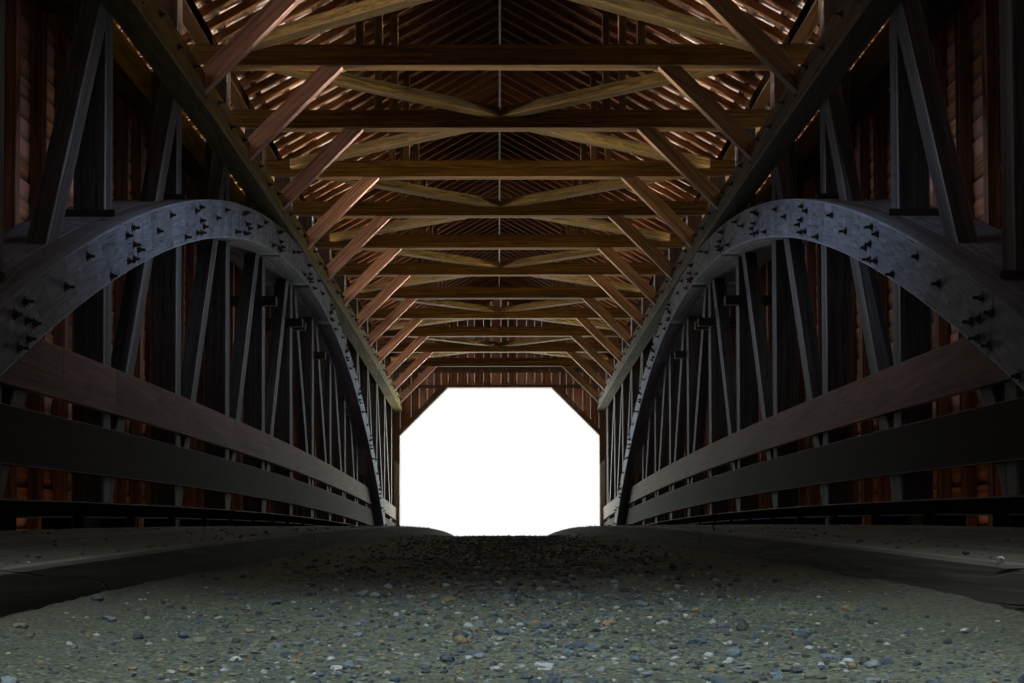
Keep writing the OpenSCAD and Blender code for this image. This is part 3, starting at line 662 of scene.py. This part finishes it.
def deck_planks():
    p = Piece()
    gap = 0.003
    y = -HALF_L
    while y < HALF_L - 0.05:
        w = min(random.uniform(0.21, 0.27), HALF_L - y)
        if HALF_L - y - w < 0.12:
            w = HALF_L - y
        a, b = y + gap, y + w - gap
        drop = random.uniform(0.0, 0.004)
        west = -DECK_X + random.uniform(0.0, 0.02)
        east = DECK_X - random.uniform(0.0, 0.02)
        p.prism([
            [(west, a, z + lift(a)), (west, b, z + lift(b)), (east, b, z + lift(b)), (east, a, z + lift(a))]
            for z in (ROAD - DECK_T, ROAD - drop)
        ])
        y += w
    p.build("deck_planks", mats["deck"], ["deck"], 0.004)


def runner_planks():
    p = Piece()
    rows = 5
    step = RUNNER_W / rows
    gap = 0.003
    end_gap = 0.002
    for side in (-1, 1):
        for k in range(rows):
            x0 = RUNNER_X + k * step + (0.0 if k == 0 else gap)
            x1 = RUNNER_X + (k + 1) * step - (0.0 if k == rows - 1 else gap)
            for y0, y1 in lengths(HALF_L, 1.4 + 1.1 * ((k * 2) % 5), 0.6):
                top = RUNNER_H - random.uniform(0.0, 0.005)
                rings = []
                for y in stops(y0 + end_gap, y1 - end_gap):
                    t = top - abs(jitter(0.001))
                    z = ROAD + lift(y)
                    rings.append([(side * x0, y, z), (side * x1, y, z),
                                  (side * x1, y, z + t), (side * x0, y, z + t)])
                p.prism(rings)
    p.build("runner_planks", mats["runner"], ["runners"], 0.009, 2, mats["runner_edge"])


def siding_boards(side, name):
    """Lapped boards: each stands out at its foot and tucks behind the next one at its head."""
    p = Piece()
    end_gap = 0.0015
    for k in range(int(round((LAPPED_TOP_Z - LAPPED_LOW_Z) / LAPPED_STEP))):
        z0 = LAPPED_LOW_Z + k * LAPPED_STEP
        head = min(z0 + LAPPED_STEP + LAPPED_LAP, LAPPED_TOP_Z)
        first = 1.1 + 2.2 * ((k * 3) % 2) + 0.55 * ((k * 5) % 4)
        for y0, y1 in lengths(PORTAL_Y, first, 0.8):
            out = jitter(0.0015)
            foot = z0 + jitter(0.003)
            rings = []
            for y in stops(y0 + end_gap, y1 - end_gap):
                low_z = foot + jitter(0.002) + lift(y)
                head_z = head + lift(y)
                rings.append([(side * (BOARD_X + 0.018 + out), y, low_z),
                              (side * (BOARD_X + 0.038 + out), y, low_z),
                              (side * (BOARD_X + 0.012), y, head_z),
                              (side * BOARD_X, y, head_z)])
            p.prism(rings)
    p.build(name + "_siding_boards", mats["siding"], [name + "_siding"], 0.002)


def shingle_course(p, side, x_foot, starter):
    """One course of shingles. The starter is short, and lies under the lowest full course."""
    tan_p, cos_p = math.tan(PITCH), math.cos(PITCH)
    bed = (RAFTER_D + LATH_T) / cos_p
    long = 0.6 * cos_p
    reach = long * 0.45 if starter else long
    end = PORTAL_Y + VERGE

    def corner(x, y, rise):
        return (side * x, y, RIDGE_Z - tan_p * x + bed + rise / cos_p + lift(y))

    y = -end
    while y < end - 0.03:
        w = random.uniform(0.09, 0.19)
        if end - y - w < 0.07:
            w = end - y
        a, b = y + random.uniform(0.001, 0.004), y + w - random.uniform(0.001, 0.004)
        foot = x_foot - random.uniform(0.0, 0.016)
        head = max(foot - reach - jitter(0.02), 0.006)
        t = (foot - head) / long
        low = (0.005 if starter else 0.018 * t) + random.uniform(0.0, 0.0015)
        high = low + (0.008 if starter else 0.003 + 0.008 * t)
        tilt = jitter(0.0012)
        p.prism([
            [corner(foot, v, low + e), corner(head, v, 0.0005), corner(head, v, 0.0035),
             corner(min(foot + 0.002, SHINGLE_X), v, min(high + e, 0.0298))]
            for v, e in ((a, 0.0), (b, tilt))
        ])
        y += w


def shingles(side, name):
    """Split shingles in courses, one course to a lath, each lying on the two below it."""
    p = Piece()
    x_foot = SHINGLE_X
    shingle_course(p, side, x_foot, True)
    while x_foot > 0.06:
        shingle_course(p, side, x_foot, False)
        x_foot -= LATH_STEP
    p.build(name + "_shingles", mats["shingle"], [name + "_roof"])


def portal_boarding(end, name):
    """Upright boards cut to the gable and to the opening with its sloping corners."""
    p = Piece()
    side_x = BOARD_X + BOARD_T
    level_x = PORTAL_X - PORTAL_CORNER
    gap = 0.0015
    top_z = RIDGE_Z + RAFTER_D / math.cos(PITCH)

    def top(x):
        return top_z - math.tan(PITCH) * abs(x)

    def bottom(x):
        if abs(x) >= PORTAL_X - 1e-6:
            return ROAD + PORTAL_GAP
        return ROAD + PORTAL_H - max(0.0, abs(x) - level_x)

    joints = [-side_x]
    while joints[-1] < side_x - 0.12:
        joints.append(joints[-1] + random.uniform(0.15, 0.24))
    joints[-1] = side_x
    # A joint close to a side of the opening moves onto it
    jambs = (-PORTAL_X, PORTAL_X)
    joints = {next((m for m in jambs if abs(m - x) < 0.11), x) for x in joints}
    joints = sorted(joints | set(jambs))
    bends = (-PORTAL_X, -level_x, 0.0, level_x, PORTAL_X)
    back_y, front_y = end * PORTAL_Y, end * (PORTAL_Y + BOARD_T)
    for x0, x1 in zip(joints, joints[1:]):
        if x1 - x0 < 0.03:
            continue
        a, b = x0 + gap, x1 - gap
        xs = [a] + [m for m in bends if a < m < b] + [b]
        outline = [(x, bottom(x)) for x in xs] + [(x, top(x)) for x in reversed(xs)]
        face_y = front_y + end * (jitter(0.0012) - 0.0012)
        p.prism([[(x, y, z) for x, z in outline] for y in (back_y, face_y)])
    p.build(name + "_portal_boarding", mats["siding"], [name + "_portal_boards"], 0.002)


def arch_point(y, depth):
    """Point on the arch below its upper edge at y, by a share of its depth, as (y, z)."""
    a = math.asin(y / ARCH_R)
    r = ARCH_R - ARCH_D * depth
    return r * math.sin(a), ARCH_Z + r * math.cos(a)


def ring_of(n, radius, spin):
    """Corners of a regular polygon."""
    turns = [spin + 2 * math.pi * i / n for i in range(n)]
    return [(radius * math.cos(a), radius * math.sin(a)) for a in turns]


def bolt(p, y, z, side):
    """Square plate, nut and the end of the rod, standing out from the inner face of a truss."""
    spin = jitter(0.25)
    sag = jitter(0.002)
    turn = random.uniform(0, 1)
    long = 0.046 + jitter(0.008)

    def layer(n, radius, out, angle, drop=0.0):
        return [(side * (INNER_X - out), y + u, z + v + drop) for u, v in ring_of(n, radius, angle)]

    p.prism([layer(4, 0.028, -0.001, spin), layer(4, 0.028, 0.005, spin), layer(4, 0.026, 0.006, spin)])
    p.prism([layer(6, 0.017, 0.005, turn), layer(6, 0.017, 0.018, turn), layer(6, 0.0145, 0.021, turn)])
    p.prism([layer(10, 0.0085, 0.017, 0.0), layer(10, 0.0085, long - 0.002, 0.0, sag),
             layer(10, 0.007, long, 0.0, sag)])


# Bolts near the butt joint of an arch timber, on both sides of it, and along the timber:
# distance from the joint and share of the timber's depth
BOLTS_BEFORE = ((0.085, 0.2), (0.09, 0.52), (0.08, 0.82), (0.2, 0.66))
BOLTS_AFTER = ((0.075, 0.27), (0.08, 0.8))
BOLTS_ALONG = ((0.5, 0.84), (0.98, 0.24), (1.42, 0.48))
# Bolts of the upper chord: distance from the post and height over the chord's underside
CHORD_BOLTS = ((0.52, 0.17), (1.12, 0.13), (1.72, 0.17))


def arch_bolt_spots(i):
    """Bolts round the butt joint in panel i, as distance from midspan and share of the depth."""
    joint = i * PANEL + (JOINT_OFF if i else 0.0)
    spots = [(joint - d, f) for d, f in BOLTS_BEFORE]
    spots += [(joint + d, f) for d, f in BOLTS_AFTER + BOLTS_ALONG]
    if i == 0:
        spots += [(joint - d, f) for d, f in BOLTS_ALONG]
    return spots


def bolts():
    p = Piece()
    last_y = 14.6
    for side in (-1, 1):
        for end in (-1, 1):
            # The joint at the crown is bolted once
            for i in range(0 if end < 0 else 1, 7):
                for y, f in arch_bolt_spots(i):
                    if abs(y) > last_y:
                        continue
                    py, pz = arch_point(y + jitter(0.012), f + jitter(0.02))
                    if pz >= ROAD + lift(py) + 0.25:
                        bolt(p, end * py, pz, side)
        for i in range(-HALF_N, HALF_N):
            for off, up in CHORD_BOLTS:
                y = i * PANEL + off
                bolt(p, y, CHORD_Z + up + lift(y), side)
    p.build("arch_bolts", mats["iron"])


def stone_shape(detail):
    """Corners and faces of a round unit pebble."""
    bm = bmesh.new()
    bmesh.ops.create_icosphere(bm, subdivisions=detail, radius=1.0)
    verts = [v.co.copy() for v in bm.verts]
    faces = [tuple(v.index for v in f.verts) for f in bm.faces]
    bm.free()
    return verts, faces


def grit_height(x, y):
    """Thickness of the grit that covers the sunken strip, thicker along its sides."""
    side = max(0.0, (abs(x) - 0.42) / 0.28)
    h = 0.011 + 0.02 * side * side
    h += 0.006 * noise.noise(Vector((x * 2.3, y * 1.7, 0.0)))
    h += 0.0045 * noise.noise(Vector((x * 9.0, y * 7.0, 3.0)))
    h += 0.0028 * noise.noise(Vector((x * 31.0, y * 27.0, 7.0)))
    return max(h, 0.002)


def grit():
    """Sheet of grit in the sunken strip, with its smallest faces near the south portal."""
    edge = 0.002
    half_w = RUNNER_X - edge
    columns = 72
    xs = [-half_w + 2 * half_w * i / columns for i in range(columns + 1)]
    ys = []
    y = -HALF_L + edge
    while y < HALF_L:
        ys.append(y)
        y += 0.018 if y < -13.5 else 0.045 if y < -6 else 0.15
    ys.append(HALF_L - edge)
    n = len(xs)
    p = Piece()
    p.add([(x, y, ROAD + lift(y) + grit_height(x, y)) for y in ys for x in xs],
          [(a, a + 1, a + n + 1, a + n) for j in range(len(ys) - 1) for a in range(j * n, j * n + n - 1)])
    o = p.build("floor_grit", mats["grit"])
    for f in o.data.polygons:
        f.use_smooth = True


# Least and largest half length, width and height of a pebble, as shares of its size
PEBBLE_FORM = ((0.8, 1.35), (0.7, 1.1), (0.5, 0.85))


def lay_pebble(p, shape, x, y, z, size):
    """Pebble of a random form, turned at random."""
    verts, faces = shape
    spin = Matrix.Rotation(random.uniform(0, 6.3), 3, "Z")
    turn = spin @ Matrix.Rotation(random.uniform(0, 6.3), 3, "X")
    sx, sy, sz = [size * random.uniform(low, high) for low, high in PEBBLE_FORM]
    seed = Vector((x * 91, y * 57, size * 999))
    corners = []
    for v in verts:
        w = turn @ (v * (1 + 0.5 * noise.noise(v * 1.3 + seed)))
        corners.append((x + w.x * sx, y + w.y * sy, z + w.z * sz))
    p.add(corners, faces)


def floor_pebbles(rough, fine):
    """Pebbles on the grit, most of them near the south portal and in the middle of the strip."""
    p = Piece()
    strip_w = 2 * RUNNER_X
    for y0, y1, per_m2, low, high, shape in (
        (-17.4, -15.6, 1250, 0.0022, 0.005, fine), (-17.4, -15.6, 130, 0.004, 0.0095, rough),
        (-15.6, -13.0, 480, 0.0028, 0.009, fine), (-13.0, -9.0, 300, 0.0035, 0.01, fine),
        (-9.0, 0.5, 110, 0.004, 0.011, fine),
    ):
        for _ in range(int((y1 - y0) * strip_w * per_m2)):
            x, y = random.triangular(-0.69, 0.69, 0.05), random.uniform(y0, y1)
            size = low + (high - low) * random.random() ** 2.2
            lay_pebble(p, shape, x, y, ROAD + lift(y) + grit_height(x, y) + size * 0.3, size)
    p.build("floor_pebbles", mats["pebble"])


def runner_pebbles(fine):
    """Small pebbles on the wheel runners, most of them near their inner edges."""
    p = Piece()
    count = 160
    for side in (-1, 1):
        for y0, y1 in ((-17.0, -12.0), (-12.0, -2.0)):
            for _ in range(count):
                x = RUNNER_X + 1.3 * random.random() ** 2
                y = random.uniform(y0, y1)
                size = 0.0025 + 0.004 * random.random() ** 2
                lay_pebble(p, fine, side * x, y, ROAD + RUNNER_H + lift(y) - 0.001, size)
    p.build("runner_pebbles", mats["pebble"])


# Heights of the pockets for the feet of the arches: top at the face and inside, and floor
POCKET_TOP = ring_height(ARCH_R + POCKET_GAP, FACE_Y)
POCKET_BACK = ring_height(ARCH_R + POCKET_GAP, POCKET_Y)
POCKET_FLOOR = ring_height(ARCH_R - ARCH_D, FOOT_Y) + FOOT_CUT
# Width of the joints, depth of the stones, and how far the sides keep off the end faces
STONE_JOINT = 0.012
STONE_DEEP = 0.12
CORNER_DEEP = 0.13


def abutment_core(end, name):
    """Mortar core of an abutment, a little behind the faces of its stones."""
    inset = 0.018
    face, wall, back, seat = FACE_Y + inset, WALL_Y - inset, BACK_Y + inset, SEAT_Z - inset
    plain = [(face, 0.0), (wall, 0.0), (wall, ROAD - inset), (back, ROAD - inset),
             (back, seat), (face, seat)]
    cut = plain + [(face, POCKET_TOP), (POCKET_Y, POCKET_BACK),
                   (POCKET_Y, POCKET_FLOOR), (face, POCKET_FLOOR)]
    x0, x1, x2 = *POCKET_X, ABUTMENT_X - inset
    p = Piece()
    for low_x, high_x, line in ((-x2, -x1, plain), (-x1, -x0, cut), (-x0, x0, plain), (x0, x1, cut),
                                (x1, x2, plain)):
        p.prism([[(x, end * y, z) for y, z in line] for x in (low_x, high_x)])
    p.build(name + "_abutment_core", mats["mortar"], [name + "_abutment"])


def stone(p, low, high, axis, sign):
    """Stone with its outer face slightly crowned: axis and sign say which way it stands out."""
    # These draws shape nothing, but the stones that follow take theirs after them
    for _ in range(4):
        jitter(0.006)
    u, v = (i for i in range(3) if i != axis)
    back, out = (low[axis], high[axis]) if sign > 0 else (high[axis], low[axis])
    cut = min(0.03, 0.2 * min(high[u] - low[u], high[v] - low[v]))

    def corner(at_u, at_v, at_out):
        c = [0.0, 0.0, 0.0]
        c[u], c[v], c[axis] = at_u, at_v, at_out
        return tuple(c)

    rings = []
    for d, w in ((0.0, back), (0.0, out - sign * 0.012), (cut * 0.35, out - sign * 0.004), (cut, out)):
        u0, u1, v0, v1 = low[u] + d, high[u] - d, low[v] + d, high[v] - d
        rings.append([corner(u0, v0, w), corner(u1, v0, w), corner(u1, v1, w), corner(u0, v1, w)])
    p.prism(rings)


def courses(z0, z1):
    """Levels of the bed joints."""
    least, most = 0.24, 0.4
    zs = [z0]
    while zs[-1] < z1 - least * 1.4:
        zs.append(zs[-1] + random.uniform(least, most))
    zs[-1] = z1
    return zs


def row(a, b, breaks=()):
    """Ranges of the stones in one course, with joints at the breaks."""
    marks = [a, *breaks, b]
    ranges = []
    for start, stop in zip(marks, marks[1:]):
        xs = [start]
        while stop - xs[-1] > 0.62:
            xs.append(xs[-1] + random.uniform(0.32, 0.6))
        xs.append(stop)
        ranges += zip(xs, xs[1:])
    return ranges


def stone_face(p, axis, sign, out, wide, high, holes=()):
    """Stones over an upright face: axis and sign of its normal, its place, its ranges and its holes."""
    along = 1 - axis
    zs = courses(*high)
    for _, _, low_z, high_z in holes:
        zs = sorted({z for z in zs if min(abs(z - low_z), abs(z - high_z)) > 0.12} | {low_z, high_z})
    for z0, z1 in zip(zs, zs[1:]):
        beside = [h for h in holes if z0 > h[2] - 0.01 and z1 < h[3] + 0.01]
        breaks = sorted(x for h in beside for x in h[:2])
        for a, b in row(*wide, breaks):
            if any(a > h[0] - 0.01 and b < h[1] + 0.01 for h in beside):
                continue
            lo, hi = [0.0] * 3, [0.0] * 3
            lo[along], hi[along] = a + STONE_JOINT / 2, b - STONE_JOINT / 2
            lo[2], hi[2] = z0 + STONE_JOINT / 2, z1 - STONE_JOINT / 2
            lo[axis], hi[axis] = sorted((out - sign * STONE_DEEP, out - sign * abs(jitter(0.008))))
            stone(p, lo, hi, axis, sign)


def abutment_stones(end, name):
    """Coursed stones round the core, with the pockets for the feet of the arches."""
    p = Piece()
    wide = (-ABUTMENT_X + 0.001, ABUTMENT_X - 0.001)
    coping = 0.16
    holes = [(*sorted((s * POCKET_X[0], s * POCKET_X[1])), POCKET_FLOOR - 0.02, POCKET_TOP)
             for s in (-1, 1)]
    stone_face(p, 1, -end, end * FACE_Y, wide, (0.0, SEAT_Z), holes)
    stone_face(p, 1, end, end * WALL_Y, wide, (0.0, ROAD))
    inner_y = WALL_Y - CORNER_DEEP
    for side in (-1, 1):
        for y, high in ((FACE_Y + CORNER_DEEP, (0.0, SEAT_Z)), (BACK_Y, (SEAT_Z, ROAD))):
            stone_face(p, 0, side, side * ABUTMENT_X, sorted((end * y, end * inner_y)), high)
    for a, b in row(-ABUTMENT_X, ABUTMENT_X):
        y0, y1 = sorted((end * (BACK_Y + 0.001), end * inner_y))
        stone(p, (a + STONE_JOINT / 2, y0, ROAD - coping),
              (b - STONE_JOINT / 2, y1, ROAD - abs(jitter(0.006))), 2, 1)
    p.build(name + "_abutment_stones", mats["stone"], (), 0.006)


deck_planks()
runner_planks()
for side_sign, side_name in ((-1, "west"), (1, "east")):
    siding_boards(side_sign, side_name)
    shingles(side_sign, side_name)
for end_sign, end_name in ((-1, "south"), (1, "north")):
    portal_boarding(end_sign, end_name)
    abutment_core(end_sign, end_name)
    abutment_stones(end_sign, end_name)
bolts()
grit()
rough_shape, fine_shape = stone_shape(2), stone_shape(1)
floor_pebbles(rough_shape, fine_shape)
runner_pebbles(fine_shape)

# Materials and paler edges of the solids, worn and with painted highlight
for node_name, look in looks.items():
    o = nodes[node_name]
    o.data.materials.clear()
    o.data.materials.append(mats[look])
    weld = o.modifiers.new("weld", "WELD")
    weld.merge_threshold = 0.0002
    soften(o, edges.get(node_name, EDGE), 2, mats.get(look + "_edge"))

# Camera at the south portal, low over the floor, with its angles in degrees
EYE = (-0.03, -18.733, 4.181)
LOOK_UP = 2.157
LOOK_RIGHT = 0.483
ROLL = -0.169
cam_data = bpy.data.cameras.new("camera")
cam_data.lens = 56.4
cam_data.sensor_width = 36
cam_data.shift_y = 0.1412
cam_data.clip_start = 0.05
cam_data.clip_end = 300
cam = bpy.data.objects.new("camera", cam_data)
bpy.context.scene.collection.objects.link(cam)
heading = Matrix.Rotation(math.radians(-LOOK_RIGHT), 4, "Z")
heading = heading @ Matrix.Rotation(math.radians(90 + LOOK_UP), 4, "X")
cam.matrix_world = Matrix.Translation(EYE) @ heading @ Matrix.Rotation(math.radians(ROLL), 4, "Z")
bpy.context.scene.camera = cam


# Floor, light and background

def pale_world():
    """Soft light for the object, and plain white for the camera, mirror and glass rays."""
    world = bpy.data.worlds.new("world")
    bpy.context.scene.world = world
    world.use_nodes = True
    tree = world.node_tree
    tree.nodes.clear()

    def node(kind):
        return tree.nodes.new("ShaderNode" + kind)

    rays = node("LightPath")
    straight = rays.outputs["Is Camera Ray"]
    for ray in ("Is Glossy Ray", "Is Transmission Ray"):
        either = node("Math")
        either.operation = "MAXIMUM"
        tree.links.new(straight, either.inputs[0])
        tree.links.new(rays.outputs[ray], either.inputs[1])
        straight = either.outputs[0]
    mix = node("MixShader")
    tree.links.new(straight, mix.inputs[0])
    for socket, color, strength in ((1, (0.86, 0.93, 1.0, 1), 0.1), (2, (1, 1, 1, 1), 1.0)):
        background = node("Background")
        background.inputs["Color"].default_value = color
        background.inputs["Strength"].default_value = strength
        tree.links.new(background.outputs[0], mix.inputs[socket])
    tree.links.new(mix.outputs[0], node("OutputWorld").inputs["Surface"])


def pale_floor(half):
    mesh = bpy.data.meshes.new("floor")
    mesh.from_pydata([(-half, -half, 0), (half, -half, 0), (half, half, 0), (-half, half, 0)],
                     [], [(0, 1, 2, 3)])
    floor = bpy.data.objects.new("floor", mesh)
    bpy.context.scene.collection.objects.link(floor)
    g = Graph("pale floor", 0.9)
    tint = g.mix(g.noise(g.place(), 0.7, 4.0), (0.7, 0.7, 0.69), (0.78, 0.78, 0.77))
    mesh.materials.append(g.finish(tint))


WHITE = (1.0, 1.0, 1.0)
COOL = (0.72, 0.84, 1.0)
LEAFY = (0.93, 1.0, 0.9)


def lamp(name, place, aim, size, power, color=WHITE, spread=180, along=False):
    """Rectangular lamp, whose first side lies across the bridge or along it; spread in degrees."""
    data = bpy.data.lights.new(name, "AREA")
    data.shape = "RECTANGLE"
    data.size, data.size_y = size
    data.energy = power
    data.color = color
    data.spread = math.radians(spread)
    o = bpy.data.objects.new(name, data)
    bpy.context.scene.collection.objects.link(o)
    z = (Vector(place) - Vector(aim)).normalized()
    x = Vector((0, 1, 0)) if along else Vector((1, 0, 0))
    y = z.cross(x).normalized()
    x = y.cross(z)
    o.matrix_world = Matrix.Translation(place) @ Matrix((x, y, z)).transposed().to_4x4()
    o.visible_camera = False


def side_lamps(side, tint):
    """Lamps along one side of the bridge, with the tint of the light under its eaves."""
    # The light under the eaves comes slantwise from the north, so that it leaves the near faces dark
    for i in range(9):
        y = 4 * i - 16
        lamp("eaves light", (side * 5.2, y, 7.65), (side * -2.4, y - 2.2, 8.5), (3.6, 0.2), 50, tint, 28,
             True)
    lamp("roof glow", (side * 5.2, 0, 7.75), (0, 0, 9.6), (36, 0.5), 70, tint, 50, True)
    lamp("bounce light", (side * 7, 0, 2.5), (side * 2.6, 0, 8.6), (36, 1.0), 380, (1.0, 0.9, 0.82), 16,
         True)
    lamp("low board light", (side * 2.76, 0, 4.0), (side * 2.95, 0, 4.7), (34, 0.06), 10, (1.0, 0.55, 0.3),
         120, True)
    for i in range(7):
        y = 3.6 * i - 8.2
        lamp("wall light", (side * 0.1, y, 6.75), (side * 2, y, 6.3), (3.6, 0.4), 4, COOL, 60, True)
    lamp("side light", (side * 22, 0, 17), (0, 0, 5), (34, 7), 2300, along=True)


def middle_lamps():
    """Lamps under the roof, beyond the portals and over the ends of the bridge."""
    for y in (-2.6, 3.0, 8.6):
        lamp("tie light", (0, y, 7.75), (0, y + 10, 8.7), (3.4, 0.2), 7, (1.0, 0.74, 0.38), 70)
    lamp("north light", (0, 22.5, 6.0), (0, 0, 6.2), (4.4, 3.4), 950, LEAFY)
    lamp("south floor light", (-1.1, -20.4, 9.6), (0.1, -16.9, 4.0), (1.6, 0.8), 16, (0.93, 1.0, 0.98), 32)
    lamp("south high light", (0, -28, 24), (0, -19, 5), (12, 7), 1800)
    lamp("north high light", (0, 28, 24), (0, 19, 5), (12, 7), 1800)


pale_world()
pale_floor(90)
side_lamps(-1, (1.0, 0.9, 0.84))
side_lamps(1, (1.0, 0.93, 0.78))
middle_lamps()

bpy.context.scene.view_settings.view_transform = "Standard"
